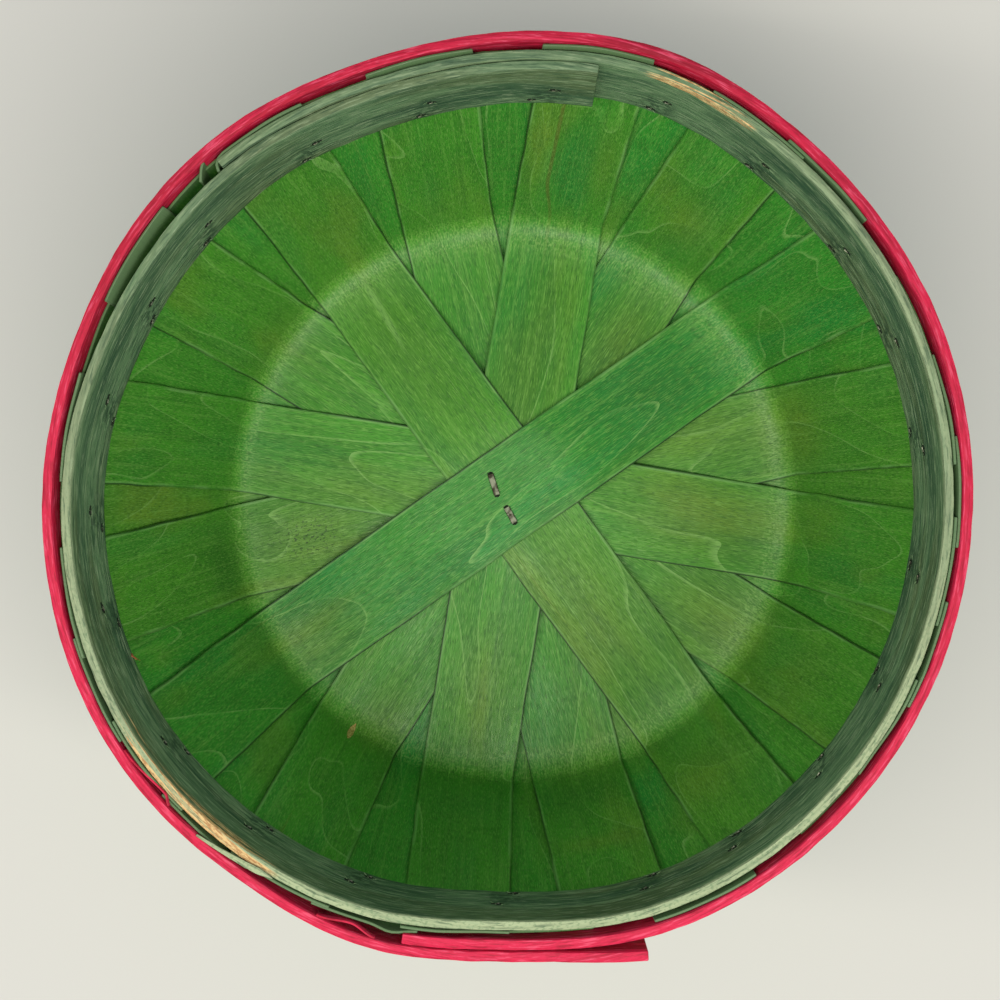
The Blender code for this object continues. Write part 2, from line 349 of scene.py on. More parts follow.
# %% The veneer's material
def make_veneer():
    material, shader = new_material("green veneer", 0.5, gloss=0.42)
    tree = material.node_tree
    place = grain_place(tree)
    rings = noise_at(place, 4.5, 21.0, roughness=0.35, distortion=0.25)
    ring = calculate("FRACT", times(rings, 5.0))
    fading = noise_at(place, 24.0, 55.0, (9.0, 1.0))
    pooled = noise_at(place, 5.0, 46.0, detail=3.0)
    dried = noise_at(place, 8.0, 34.0, (3.1, 4.7), detail=3.0)
    mottle = noise_at(place, 70.0, 230.0, detail=4.0, roughness=0.6)
    rays = noise_at(place, 8.0, 420.0)
    brown = noise_at(place, 3.0, 190.0, (2.0, 6.0))
    streaks = noise_at(place, 15.0, 760.0, (1.3, 2.9), detail=3.0, distortion=0.2)
    fibres = noise_at(place, 230.0, 2700.0, roughness=0.6, distortion=0.2)
    pores = noise_at(place, 280.0, 3000.0, distortion=0.2)
    cracks = noise_at(place, 650.0, 1500.0, (8.0, 3.0))
    edge_fade = noise_at(place, 7.0, 40.0, (4.0, 4.0))
    dots = noise_at(place, 800.0, 1100.0, (3.0, 5.0), detail=1.0)

    emerald = calculate("ADD", painted(tree, "emerald"), spread(pooled, 0.50, 0.72, 0.0, 0.55))
    colour = blend(emerald, VENEER_GREEN, VENEER_EMERALD)
    olive = calculate("ADD", painted(tree, "olive"), spread(dried, 0.52, 0.74, 0.0, 0.5))
    colour = blend(olive, colour, VENEER_OLIVE)
    colour = glaze(colour, VENEER_DEEP, ring, 0.0, 1.0, 0.26)
    # Deep holds dark pools of dye, and on the floor's far side partly painted shade.
    colour = blend(painted(tree, "deep"), colour, VENEER_DEEP)
    colour = glaze(colour, VENEER_DEEP, mottle, 0.45, 0.75, 0.35)
    colour = glaze(colour, VENEER_DEEP, rays, 0.55, 0.8, 0.35)
    colour = glaze(colour, BROWN_STREAK, brown, 0.76, 0.84, 0.3)
    vein = spread(calculate("ABSOLUTE", painted(tree, "from_vein")), 0.3, 1.0, 1.0, 0.0)
    colour = blend(times(vein, painted(tree, "veined")), colour, VEIN_BROWN)
    ring_line = times(spread(ring, 0.0, 0.04, 1.0, 0.0), spread(fading, 0.36, 0.62, 0.1, 0.55))
    colour = blend(ring_line, colour, RING_LINE)
    colour = glaze(colour, FIBRE_LIGHT, streaks, 0.50, 0.74, 0.18)
    colour = glaze(colour, FIBRE_LIGHT, fibres, 0.50, 0.72, 0.32)
    # At the bend the veneer is painted paler: partly cracked fibres, partly a painted highlight.
    cracked_and_highlit = calculate("ADD", spread(cracks, 0.46, 0.66, 0.0, 0.42), 0.05)
    colour = blend(times(painted(tree, "bent"), cracked_and_highlit), colour, CRACK_PALE_AND_HIGHLIGHT)
    pore = spread(pores, 0.52, 0.68)
    colour = blend(times(pore, 0.5), colour, PORE_DARK)

    from_middle = calculate("ABSOLUTE", wire(tree, "SeparateXYZ", {"Vector": place}, output=1))
    pale = times(spread(from_middle, 0.0166, 0.0171), spread(fading, 0.42, 0.60, 0.05, 0.6))
    colour = blend(pale, colour, EDGE_PALE)
    # Each long edge's dark band: partly dye, partly painted shade from one stave lying over the next.
    dyed_and_shaded_edge = times(spread(from_middle, 0.0172, 0.0177), spread(edge_fade, 0.34, 0.60, 0.3, 0.9))
    colour = blend(dyed_and_shaded_edge, colour, DARK_DYE_AND_SHADE)
    colour = blend(times(painted(tree, "specks"), spread(dots, 0.60, 0.68)), colour, DARK_DYE_AND_SHADE)
    colour = blend(times(painted(tree, "weathered"), 0.9), colour, WEATHERED_GREEN)

    feed(shader, "Base Color", colour)
    dull_fibres = spread(fibres, 0.3, 0.7, 0.10, 0.0)
    feed(shader, "Roughness", calculate("ADD", spread(fading, 0.3, 0.7, 0.38, 0.50), dull_fibres))
    feed_relief(shader, calculate("SUBTRACT", times(fibres, 0.8), pore), 0.28, 0.00025)
    return material


green_veneer = make_veneer()
print("nodes in the veneer's material:", len(green_veneer.node_tree.nodes))

# %% [markdown]
# ## Stained hoop wood
# The hoops are thicker, sawn strips. Their grain is coarser and runs round the basket in long streaks, the
# stain is greyer on the green hoop and brighter on the red one, and handling has left their upper edges
# light. Where a splinter came away the bare, cream wood shows. Those places are painted into an attribute
# called bare, and the worn edges into one called worn, so that one recipe serves both hoops.

# %% The hoops' material
BARE_CREAM = tone(226, 192, 132)
BARE_TAN = tone(176, 128, 80)
BRUISE_DARK = tone(28, 54, 38)


def make_hoop_wood(name, stain, deep, light, worn, aged, fleck):
    material, shader = new_material(name, 0.65)
    tree = material.node_tree
    place = grain_place(tree)
    streaks = noise_at(place, 12.0, 620.0, detail=4.0, roughness=0.6, distortion=0.3)
    broad = noise_at(place, 14.0, 90.0, (5.0, 2.0), detail=3.0)
    stained = noise_at(place, 9.0, 60.0, (7.0, 3.0), detail=3.0)
    fuzz = noise_at(place, 300.0, 1500.0, detail=3.0, roughness=0.65)
    broken = noise_at(place, 260.0, 520.0, (6.0, 1.0), detail=3.0, roughness=0.65)
    dashes = noise_at(place, 46.0, 800.0, (1.0, 8.0))
    speckle = noise_at(place, 700.0, 1100.0)
    flecks = noise_at(place, 110.0, 1250.0, (2.0, 9.0), detail=3.0, roughness=0.6)

    colour = blend(spread(broad, 0.35, 0.7), stain, deep)
    colour = glaze(colour, aged, stained, 0.46, 0.66, 0.7)
    colour = glaze(colour, light, streaks, 0.45, 0.75, 0.8)
    colour = glaze(colour, deep, fuzz, 0.5, 0.75, 0.45)
    colour = blend(times(painted(tree, "worn"), spread(streaks, 0.3, 0.6, 0.6, 1.0)), colour, worn)
    colour = blend(times(painted(tree, "worn"), spread(speckle, 0.5, 0.68, 0.0, 0.5)), colour, stain)
    down = wire(tree, "SeparateXYZ", {"Vector": place}, output=1)
    dash = times(spread(dashes, 0.58, 0.70), spread(down, -0.006, 0.008, 0.25, 1.0))
    colour = blend(times(dash, 0.8), colour, deep)
    colour = glaze(colour, fleck, flecks, 0.54, 0.70, 0.5)
    colour = glaze(colour, deep, flecks, 0.46, 0.32, 0.6)
    bruise = times(painted(tree, "bruised"), spread(broken, 0.42, 0.58, 0.0, 0.9))
    colour = blend(bruise, colour, BRUISE_DARK)
    torn = times(painted(tree, "bare"), spread(streaks, 0.42, 0.58, 0.05, 1.0))
    bare_wood = blend(spread(fuzz, 0.42, 0.62), BARE_CREAM, BARE_TAN)
    colour = glaze(colour, bare_wood, torn, 0.24, 0.50)

    feed(shader, "Base Color", colour)
    rough = calculate("ADD", streaks, times(fuzz, 0.5))
    feed_relief(shader, calculate("SUBTRACT", rough, dash), 0.7, 0.0004)
    return material


green_hoop_wood = make_hoop_wood(
    "green hoop wood", stain=tone(92, 126, 88), deep=tone(44, 76, 54), light=tone(116, 144, 104),
    worn=tone(168, 184, 142), aged=tone(84, 98, 62), fleck=tone(150, 172, 134),
)
red_hoop_wood = make_hoop_wood(
    "red hoop wood", stain=tone(198, 12, 54), deep=tone(138, 4, 32), light=tone(228, 38, 80),
    worn=tone(218, 24, 70), aged=tone(176, 10, 42), fleck=tone(246, 92, 128),
)
print("nodes in a hoop's material:", len(red_hoop_wood.node_tree.nodes))

# %% [markdown]
# ## Staple wire
# The staples are flat steel wire, dulled and brown in places from the damp wood.

# %% The staples' material
def mix_two_tones(name, features, low, high, light, dark, *finish):
    """A material of a light and a dark tone, mixed by a noise that runs through the piece."""
    material, shader = new_material(name, *finish)
    tones = spread(noise_through(material.node_tree, features), low, high)
    feed(shader, "Base Color", blend(tones, light, dark))
    return material


staple_wire = mix_two_tones(
    "dull staple wire", 420.0, 0.40, 0.62, tone(122, 126, 108), tone(48, 44, 34), 0.42, 0.85
)
print("materials so far:", len(bpy.data.materials))

# %% [markdown]
# ## Torn wood
# Where the wood split, three more finishes show: the dark of a torn hole, which is painted shade standing
# for its depth, the pale green of fibres that stand up beside it, and bare, tan or brown wood. They are two
# tones as well, mixed more finely.

# %% Torn wood's materials
def make_split_wood(name, light, dark):
    """Torn wood, in two tones."""
    return mix_two_tones(name, 1100.0, 0.38, 0.62, light, dark, 0.8)


# The hole's dark disc is painted shade, standing for the depth of the hole.
painted_hole_shade = make_split_wood("dark of a torn hole", tone(20, 36, 20), tone(8, 16, 8))
torn_green = make_split_wood("torn green fibre", tone(122, 152, 108), tone(70, 104, 64))
bare_tan = make_split_wood("bare tan wood", tone(226, 194, 122), tone(176, 136, 76))
bare_brown = make_split_wood("brown splinter wood", tone(160, 92, 56), tone(96, 48, 26))
print("materials now:", len(bpy.data.materials))

# %% [markdown]
# ## A strip of wood
# Staves and hoops both begin as a flat strip. A grid is added at its real length and width, its flat layout
# is kept as the UV map called grain, and press() then moves every point on to the form, which stands in for
# the maker's press. Solidify gives the strip its thickness and Bevel takes the sharpness off its edges.
# Both are applied, so that the finished piece is plain mesh. Dye, wear and the like, with some painted
# shade and a painted highlight, are painted on its points, as attributes.

# %% Cut, press, thicken and paint a strip
def add_alone(add, change, value, **shape):
    """A new mesh, selected alone, with one change made to all of it in Edit Mode."""
    bpy.ops.object.select_all(action="DESELECT")
    add(**shape)
    bpy.ops.object.mode_set(mode="EDIT")
    change(value=value)
    bpy.ops.object.mode_set(mode="OBJECT")
    return bpy.context.object


def cut_strip(name, length, width, rows, columns, shift):
    """A flat strip along Y, from -length / 2, with its layout in metres, shifted along, as its UV map."""
    strip = add_alone(
        bpy.ops.mesh.primitive_grid_add, bpy.ops.transform.resize, (width, length, 1.0),
        x_subdivisions=columns, y_subdivisions=rows, size=1.0,
    )
    strip.name = name
    strip.data.name = name
    layout = strip.data.uv_layers[0]
    layout.name = "grain"
    for loop, place in zip(strip.data.loops, layout.data):
        flat = strip.data.vertices[loop.vertex_index].co
        place.uv = (flat.y + shift, flat.x)
    return strip


def press(strip, place_point):
    """Every point of the strip moved to where place_point(along, across) says."""
    for vertex in strip.data.vertices:
        vertex.co = place_point(vertex.co.y, vertex.co.x)
    strip.data.update()


def thicken(strip, thickness, edge, segments=1):
    """The pressed strip given its thickness and soft edges, both applied."""
    solidify = strip.modifiers.new("thickness", "SOLIDIFY")
    solidify.thickness = thickness
    solidify.offset = 0.0
    solidify.use_even_offset = True
    bevel = strip.modifiers.new("soft edges", "BEVEL")
    bevel.width = edge
    bevel.segments = segments
    bevel.limit_method = "ANGLE"
    bevel.angle_limit = math.radians(50)
    for modifier in ("thickness", "soft edges"):
        bpy.ops.object.modifier_apply(modifier=modifier)
    bpy.ops.object.shade_smooth_by_angle(angle=math.radians(40))


def paint(piece, name, amount_at):
    """A new attribute: amount_at(point) at each of the piece's points."""
    layer = piece.data.attributes.new(name, "FLOAT", "POINT")
    for vertex, value in zip(piece.data.vertices, layer.data):
        value.value = amount_at(vertex.co)


def dress(piece, material, slot, *nodes):
    """The finished piece gets its material, rides on the basket and stands for its solid, if it has one."""
    piece.data.materials.clear()
    piece.data.materials.append(material)
    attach(piece, "root")
    if nodes:
        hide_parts(*nodes)


# %% [markdown]
# ## The staves
# Eight staves make the inner web and eight the outer one. Each is one strip that runs down a wall, over the
# floor and up the other wall. Knife and press leave them less than perfect: the edges wander by a few
# tenths of a millimetre, the faces ripple a little, and no two tops are cut off at the same height. Those
# errors come from Blender's noise function, which gives the same values every time. Each stave is given by
# its azimuth, how far it lies off the middle in millimetres, and how emerald and how olive its dye is.

# %% Places of the staves, from the top layer down
INNER_STAVES = (
    (55.1, 0.0, 0.35, 0.0), (143.9, -0.2, 0.0, 0.25), (9.2, 0.3, 0.1, 0.1), (99.4, -0.4, 0.0, 0.15),
    (32.4, -1.4, 0.1, 0.1), (122.1, -1.2, 0.0, 0.2), (77.5, -0.2, 0.0, 0.25), (166.7, 0.4, 0.05, 0.1),
)
OUTER_STAVES = (
    (66.2, -0.5, 0.2, 0.0), (155.4, -0.2, 0.3, 0.0), (20.8, -0.6, 0.35, 0.0), (110.8, -0.5, 0.1, 0.1),
    (43.8, -1.2, 0.3, 0.0), (133.0, -0.8, 0.1, 0.1), (88.5, 0.0, 0.0, 0.3), (177.9, 0.1, 0.25, 0.0),
)
STAVE_ROWS = 190
STAVE_COLUMNS = 18
STAVE_TOP = RIM_STATION - 0.0006
VENEER_EDGE = 0.00018
EDGE_WANDER = 0.00035
FACE_RIPPLE = 0.00010
TOP_UNEVENNESS = 0.0016
TALLEST_TOP = 0.0004
SHORTENED_LENGTH = 0.02
print("staves:", len(INNER_STAVES), "inside and", len(OUTER_STAVES), "outside")

# %% [markdown]
# Seen from above, some tops end deep between the hoops and others stand against the red hoop, because the
# staves were cut off by hand. Two tops have come loose too. One waves outwards, and the corner of another
# curls inwards, into the room beside the inner hoop's lap. All of this is done while the stave is pressed,
# so that no seam shows.

# %% Short, leaning and loose stave tops
SHORT_TOPS = {
    "outer_stave_1": (0.0050, 0.0), "outer_stave_2": (0.0, 0.0048), "outer_stave_3": (0.0052, 0.0),
    "outer_stave_4": (0.0, 0.0044), "outer_stave_6": (0.0050, 0.0046), "outer_stave_7": (0.0, 0.0052),
    "outer_stave_8": (0.0048, 0.0050), "inner_stave_1": (0.0040, 0.0), "inner_stave_2": (0.0044, 0.0),
    "inner_stave_8": (0.0042, 0.0),
}
LEANING_TOPS = {"inner_stave_3": 1, "inner_stave_6": -1, "inner_stave_8": -1}
LEANING_LENGTH = 0.0036
LEANING_OUT = 0.0012
WAVY_TOPS = {"outer_stave_3": (-1, 0.0095, 0.0048, 0.0015)}
WAVY_LENGTH = 0.014
CURLED_CORNERS = {"inner_stave_2": (-1, 0.0126, 0.0042, 0.0039)}
CURLED_LENGTH = 0.020


def loosened(stave, along, across):
    """The place across and the lift inwards of a point of a stave, changed where its top is loose."""
    lift = 0.0
    if along * LEANING_TOPS.get(stave, 0) > 0:
        lift = -LEANING_OUT * smooth_step(STAVE_TOP - LEANING_LENGTH, STAVE_TOP - 0.0006, abs(along))
    if stave in WAVY_TOPS:
        arm, middle, half_width, outwards = WAVY_TOPS[stave]
        if along * arm > 0:
            rise = smooth_step(STAVE_TOP - WAVY_LENGTH, STAVE_TOP, abs(along))
            lift = -outwards * rise * hump((across - middle) / half_width)
    if stave in CURLED_CORNERS:
        arm, start, reach, inwards = CURLED_CORNERS[stave]
        past = (across - start) / (STAVE_WIDTH / 2 - start)
        if along * arm > 0 and past > 0:
            rise = smooth_step(STAVE_TOP - CURLED_LENGTH, STAVE_TOP - 0.004, abs(along))
            curled = start + reach * math.sin(min(past, 1.0) * math.pi / 2)
            across += (curled - across) * rise
            lift = inwards * past**1.6 * rise
    return across, lift

# %% [markdown]
# The dye's pools are painted on the staves, and with them some painted shade and a painted highlight. The
# deep ovals 60 to 68 mm out on the floor's far, +Y side darken it, partly as painted shade, and the bent
# ovals at 101 mm on the same staves brighten the bend there, partly as a painted highlight. Each is an oval
# in millimetres on the flat stave: how far along from the middle (plus is the arm at the stave's azimuth,
# minus the other arm), how far across, half its length, half its width, which attribute it goes into and how
# strong it is there.

# %% Pools of dye, with painted shade and a painted highlight
POOLS_OF_INNER = {
    1: (
        (68, -6, 34, 16, "emerald", 0.9), (-100, 3, 28, 12, "olive", 0.5), (-85, -12, 20, 8, "emerald", 0.6),
        (66, 0, 32, 18, "deep", 0.46), (101, 0, 5, 22, "bent", 0.4),
    ),
    2: (
        (180, 6, 26, 16, "olive", 0.55), (60, 0, 40, 14, "olive", 0.45), (-70, 0, 40, 16, "olive", 0.25),
        (-68, 0, 32, 18, "deep", 0.36), (-101, 0, 5, 22, "bent", 0.5),
    ),
    3: (
        (166, 2, 45, 7, "emerald", 0.95), (185, -11, 40, 5, "olive", 0.75), (185, 14, 40, 5, "olive", 0.5),
        (-76, 0, 26, 12, "olive", 0.5), (-150, 2, 25, 16, "emerald", 0.5),
        (60, 0, 45, 16, "deep", 0.46), (101, 0, 5, 22, "bent", 0.7),
    ),
    4: (
        (76, 0, 32, 14, "olive", 0.55), (178, 0, 26, 12, "emerald", 0.4),
        (-220, 6, 20, 14, "emerald", 0.5), (-130, 0, 30, 12, "emerald", 0.35),
    ),
    5: (
        (165, 0, 28, 12, "olive", 0.7), (73, 4, 22, 9, "olive", 0.9), (96, -13, 12, 6, "emerald", 0.8),
        (224, -6, 25, 9, "emerald", 0.6), (-105, 6, 20, 12, "olive", 0.6), (66, 4, 36, 18, "deep", 0.48),
        (101, 0, 5, 22, "bent", 0.7),
    ),
    6: ((100, 0, 30, 16, "olive", 0.7), (180, 0, 25, 16, "olive", 0.3), (-120, 0, 20, 14, "olive", 0.3)),
    7: (
        (79, -6, 25, 12, "olive", 0.5), (130, 0, 24, 16, "olive", 0.7), (224, -10, 25, 8, "emerald", 0.6),
        (-79, 0, 26, 14, "olive", 0.55), (-132, 4, 18, 16, "deep", 0.75), (-79, 0, 14, 9, "specks", 0.8),
    ),
    8: (
        (143, 0, 20, 16, "deep", 0.6), (199, 0, 8, 14, "olive", 0.6), (118, 0, 14, 16, "olive", 0.3),
        (-135, 0, 24, 14, "olive", 0.3), (-66, 0, 34, 18, "deep", 0.38),
        (-101, 0, 5, 22, "bent", 0.7),
    ),
}
# Pale flecks all round the bend, partly a painted highlight: station and half length in mm, strength.
BEND_FLECKS_AND_HIGHLIGHT = (112.0, 9.0, 0.6)
POOLS_OF_OUTER = {
    2: ((160, 0, 30, 12, "emerald", 0.8),),
    3: ((180, 0, 40, 12, "emerald", 0.4),),
    7: ((-193, 0, 32, 14, "olive", 0.7),),
    8: ((-190, 0, 45, 12, "deep", 0.3),),
}
print("pools on the inner web:", sum(len(pools) for pools in POOLS_OF_INNER.values()))

# %% Paint the staves
def station_of(point):
    """How far along a stave a point lies from the basket's middle."""
    radius = math.hypot(point.x, point.y)
    if radius < FLAT_RADIUS:
        return radius
    return max(BEND_END + (point.z - BEND_TOP) / math.cos(LEAN), FLAT_RADIUS)


def flat_place(point, azimuth, shift):
    """A pressed point's place along and across its stave, in millimetres, with the form's shift there."""
    ahead, right = axes_of(azimuth)
    level = point.xy
    along = math.copysign(station_of(point), ahead.dot(level))
    return along * 1000, right.dot(level - CROSSING - shift) * 1000


def paint_stave(strip, azimuth, emerald, olive, pools):
    """The stave's attributes, from its own tint and its pools, and weathered at its tops."""
    layers = {"emerald": emerald, "olive": olive, "deep": 0.0, "specks": 0.0, "weathered": 0.0, "bent": 0.0}
    for name in layers:
        strip.data.attributes.new(name, "FLOAT", "POINT")
    for vertex in strip.data.vertices:
        along, across = flat_place(vertex.co, azimuth, FLOOR_SHIFT)
        amounts = dict(layers)
        for middle, side, half_length, half_width, layer, strength in pools:
            fall = ((along - middle) / half_length) ** 2 + ((across - side) / half_width) ** 2
            amounts[layer] += strength * math.exp(-fall)
        amounts["weathered"] = smooth_step(HEIGHT - 0.012, HEIGHT - 0.003, vertex.co.z)
        # The bend's pale flecks, partly a painted highlight.
        middle, half_length, strength = BEND_FLECKS_AND_HIGHLIGHT
        amounts["bent"] += strength * hump((abs(along) - middle) / half_length)
        for name, amount in amounts.items():
            strip.data.attributes[name].data[vertex.index].value = amount

# %% [markdown]
# One stave has a brown vein, a mineral streak about a millimetre wide. A line that fine would be lost
# between the points of the mesh, so the attribute from_vein holds the distance from it in millimetres. A
# distance changes evenly from point to point, and the material turns it into a sharp line.

# %% Paint the vein
VEIN_STAVE = "veneer_inner_stave_3"
VEIN = ((70.0, -2.0), (112.0, -2.6), (160.0, -6.6), (228.0, -6.8))
VEIN_STRENGTH = 0.65


def vein_place(along):
    """Where across the stave the vein runs, in millimetres."""
    for (before, left), (after, right) in zip(VEIN, VEIN[1:]):
        if along <= after:
            return left + (right - left) * smooth_step(before, after, along)
    return VEIN[-1][1]


def paint_vein(strip, azimuth):
    """The attributes from_vein, a distance in millimetres, and veined, how strong the vein is there."""
    def place_of(point):
        share = wall_share(point.z)
        return flat_place(point, azimuth, WALL_DRIFT * share + FLOOR_SHIFT * (1 - share))

    def from_vein(point):
        along, across = place_of(point)
        return across - vein_place(along)

    def veined(point):
        return VEIN_STRENGTH * smooth_step(VEIN[0][0], VEIN[2][0], place_of(point)[0])

    paint(strip, "from_vein", from_vein)
    paint(strip, "veined", veined)

# %% Make the staves
def make_stave(stave, azimuth, offset, layer):
    strip = cut_strip(f"veneer_{stave}", 2 * STAVE_TOP, STAVE_WIDTH, STAVE_ROWS, STAVE_COLUMNS, layer + 0.37)

    def place_point(along, across):
        side = 2 * across / STAVE_WIDTH
        wander = chance_at(along * 45, math.copysign(3.0, side), layer * 7.3)
        across += EDGE_WANDER * wander * abs(side) ** 3 * math.copysign(1.0, side)
        ripple = FACE_RIPPLE * chance_at(along * 40, across * 90, layer * 5.1)
        chance = chance_at(math.copysign(4.0, along), side * 0.8, layer * 3.7)
        cut = max(TOP_UNEVENNESS * (0.2 + chance), -TALLEST_TOP)
        cut += SHORT_TOPS.get(stave, (0.0, 0.0))[along < 0]
        short = smooth_step(STAVE_TOP - SHORTENED_LENGTH, STAVE_TOP, abs(along)) * cut
        along = math.copysign(abs(along) - short, along)
        across, lift = loosened(stave, along, across)
        return stave_point(azimuth, offset / 1000, layer, along, across, ripple + lift)

    press(strip, place_point)
    thicken(strip, VENEER, VENEER_EDGE)
    dress(strip, green_veneer, "green_veneer", stave)
    return strip


def make_web(name, staves, lowest_layer, pools):
    """A web of crossing staves, listed from its top layer down."""
    made = []
    for number, (azimuth, offset, emerald, olive) in enumerate(staves, start=1):
        strip = make_stave(f"{name}_{number}", azimuth, offset, lowest_layer + len(staves) - number)
        paint_stave(strip, azimuth, emerald, olive, pools.get(number, ()))
        if strip.name == VEIN_STAVE:
            paint_vein(strip, azimuth)
        made.append(strip)
    return made


outer_web = make_web("outer_stave", OUTER_STAVES, 0, POOLS_OF_OUTER)
inner_web = make_web("inner_stave", INNER_STAVES, len(OUTER_STAVES), POOLS_OF_INNER)
print("staves:", len(outer_web + inner_web), "with faces in each:", len(inner_web[0].data.polygons))

# %% [markdown]
# ## The hoops
# A hoop is a long strip bent round the rim, and its two ends lap. On the outer, red hoop the free end lies
# outside and stands off a little. On the inner hoop the last stretch tucks inside the first. Both strips
# are sawn, so their top edges wave slightly.

# %% Where a point of a hoop lies
def hoop_point(depth, azimuth, down):
    """A point on a hoop, so far down the leaning wall, at a depth inwards from the staves' outer face."""
    radius, height = section(RIM_STATION - down - depth * math.tan(LEAN), depth)
    return out_of_round(direction(azimuth) * radius, height)


def outer_hoop_depth(azimuth):
    """Depth of the outer hoop's middle surface inwards from the staves' outer face, so below 0."""
    depth = -HOOP_GAP - OUTER_HOOP_THICKNESS / 2
    lapped = 1 - smooth_step(*OUTER_HOOP_TUCK, azimuth)
    lift = max(FREE_END_LIFT_STOPS - azimuth, 0.0) / (FREE_END_LIFT_STOPS - OUTER_HOOP_START)
    return depth - lapped * (OUTER_HOOP_THICKNESS + HOOP_GAP) - FREE_END_LIFT * lift**2


def inner_hoop_depth(azimuth):
    """Depth of the inner hoop's middle surface inwards from the staves' outer face."""
    depth = PITCH + VENEER + HOOP_GAP + INNER_HOOP_THICKNESS / 2
    tucked = smooth_step(*INNER_HOOP_TUCK, azimuth)
    return depth + tucked * (INNER_HOOP_THICKNESS + HOOP_GAP)


print("from hoop to hoop, mm:", round((inner_hoop_depth(360) - outer_hoop_depth(360)) * 1000, 2))

# %% Sizes of the hoops' edges, wear and marks
RIM_STAPLE_AZIMUTHS = (
    5, 21, 37, 53, 67, 82, 100, 116, 131, 146, 160, 180, 201, 217, 233, 253, 267, 282, 297, 311, 330, 348,
)
HOOP_ROWS = 380
HOOP_COLUMNS = 14
HOOP_EDGE = 0.0005
HOOP_EDGE_WAVE = 0.0005
HOOP_THICKNESS_WAVE = 0.00018
HOOP_ROUGHNESS = 0.00022
LOWER_EDGE_WAVE = 0.0008
WORN_EDGE = 0.0016
WORN_THROUGH = 0.0003
# Stretches where the light top edge is painted less light: middle azimuth, half width in degrees, strength.
DIMMED_EDGE_STRETCHES = ((345.0, 58.0, 0.92), (280.0, 26.0, 0.35), (72.0, 42.0, 0.40))
GRAIN_OVERRUN = 0.012
BARE_PATCHES = ((26.0, 8.0, 0.003), (227.0, 15.0, 0.005))
BRUISE_HEIGHT = 0.1475
BRUISE_HALF_HEIGHT = 0.0080
BRUISE_HALF_ANGLE = 2.8
print("staples round the rim:", len(RIM_STAPLE_AZIMUTHS))


# %% Paint a hoop
def worn_at(point):
    """1 along the hoop's top edge, less in the listed stretches, fading a little way down its faces."""
    dimmed = 0.0
    for middle, half_width, strength in DIMMED_EDGE_STRETCHES:
        dimmed += strength * hump(degrees_apart(azimuth_of(point), middle) / half_width, 4)
    return smooth_step(HEIGHT - WORN_EDGE, HEIGHT - WORN_THROUGH, point.z) * max(1 - dimmed, 0.0)


def bare_at(point, patches):
    """1 in the middle of each patch of (azimuth, half width in degrees, reach down from the top)."""
    bare = 0.0
    for middle, half_width, reach in patches:
        away = degrees_apart(azimuth_of(point), middle) / half_width
        bare = max(bare, hump(away, 4) * hump((HEIGHT - point.z) / reach))
    return bare


def bruised_at(point, azimuths):
    """1 where the wood is torn and dark round a staple's points."""
    away = min((degrees_apart(azimuth_of(point), azimuth) for azimuth in azimuths), default=180.0)
    return hump(away / BRUISE_HALF_ANGLE) * hump((point.z - BRUISE_HEIGHT) / BRUISE_HALF_HEIGHT)


def run_grain_over_edges(hoop):
    """The layout's Y moved on by the distance inwards on the top and bottom edges, as the grain runs on."""
    layout = hoop.data.uv_layers["grain"].data
    for polygon in hoop.data.polygons:
        if abs(polygon.normal.z) > 0.7:
            for loop in polygon.loop_indices:
                radius = hoop.data.vertices[hoop.data.loops[loop].vertex_index].co.xy.length
                flat = layout[loop].uv
                flat.y += math.copysign(RIM_RADIUS + GRAIN_OVERRUN - radius, flat.y)

# %% Make the hoops
def make_hoop(name, start, end, depth_at, thickness, material, slot, patches, staples):
    length = math.radians(end - start) * RIM_RADIUS
    hoop = cut_strip(name, length, HOOP_WIDTH, HOOP_ROWS, HOOP_COLUMNS, shift=start / 100)

    def place_point(along, across):
        azimuth = start + (end - start) * (along / length + 0.5)
        down = across + HOOP_WIDTH / 2
        wave = HOOP_EDGE_WAVE * chance_at(along * 14, 2.0, start) * (1 - down / HOOP_WIDTH)
        wave += LOWER_EDGE_WAVE * chance_at(along * 45, 6.0, start) * down / HOOP_WIDTH
        push = HOOP_THICKNESS_WAVE * chance_at(along * 25, down * 60, start)
        push += HOOP_ROUGHNESS * chance_at(along * 150, down * 120, start)
        return hoop_point(depth_at(azimuth) + push, azimuth, down - wave)

    press(hoop, place_point)
    thicken(hoop, thickness, HOOP_EDGE, segments=2)
    run_grain_over_edges(hoop)
    paint(hoop, "worn", worn_at)
    paint(hoop, "bare", lambda point: bare_at(point, patches))
    paint(hoop, "bruised", lambda point: bruised_at(point, staples))
    dress(hoop, material, slot, name.replace("wood_", ""))
    return hoop


inner_hoop = make_hoop(
    "wood_inner_hoop", INNER_HOOP_START, INNER_HOOP_END, inner_hoop_depth, INNER_HOOP_THICKNESS,
    green_hoop_wood, "green_hoop", BARE_PATCHES, RIM_STAPLE_AZIMUTHS,
)
outer_hoop = make_hoop(
    "wood_outer_hoop", OUTER_HOOP_START, OUTER_HOOP_END, outer_hoop_depth, OUTER_HOOP_THICKNESS,
    red_hoop_wood, "red_hoop", (), (),
)
print("faces in a hoop:", len(outer_hoop.data.polygons))

# %% [markdown]
# ## Splinters and loose strands
# A basket that has been used isn't whole everywhere. A sliver of the inner hoop has peeled off and lies
# across to the red hoop, two strands have sprung off the red hoop's inner edge, a scrap of stave stands
# curled between the hoops, and a chip of the dyed face is gone at the foot of a stave. Each is a thin
# strip, cut, pressed to its own small curve and thickened, just as the staves are, so it needs no new way
# of working.

